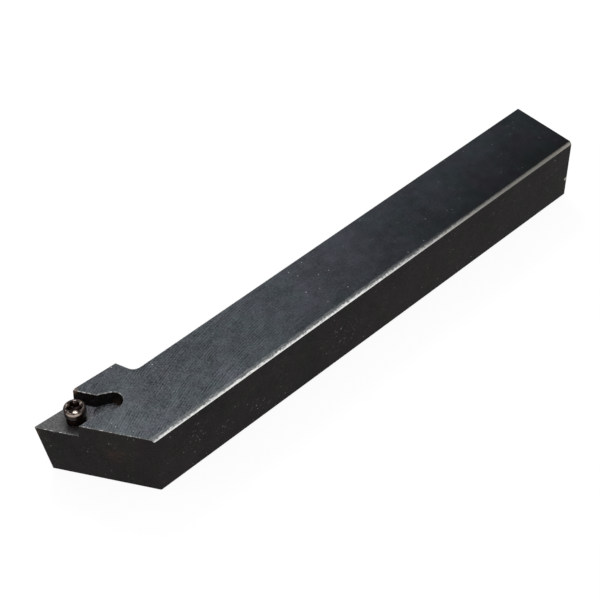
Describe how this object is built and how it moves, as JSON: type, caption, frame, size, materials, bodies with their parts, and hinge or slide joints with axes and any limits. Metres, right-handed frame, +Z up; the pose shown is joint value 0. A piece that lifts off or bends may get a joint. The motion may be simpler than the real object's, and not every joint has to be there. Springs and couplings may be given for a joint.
{
  "type": "turning tool holder",
  "caption": "Square-shank left-hand external turning tool holder with a rhombic insert pocket, a relief slot and a star-socket clamp screw.",
  "frame": {"origin": "on the underside of the shank, under the middle of its width, half way along the tool's 100 mm length", "axes": "+X along the shank to its plain end, +Y the side past which the cutting nose reaches, +Z up towards the cutting edge"},
  "size_m": [0.0994, 0.0155, 0.0122],
  "materials": {
    "holder": "milled alloy steel, black oxide, worn bright on the long clamping edge",
    "clamp_screw": "dark brown-black heat-treated steel, polished head"
  },
  "bodies": {
    "holder": {"holder": "holder"},
    "clamp_screw": {"clamp_screw": "clamp_screw"}
  },
  "joints": [
    {"name": "clamp_screw_travel", "type": "slide", "parent": "holder", "child": "clamp_screw", "axis": [0, 0, 1], "range_m": [-0.00135, 0.0081]}
  ]
}
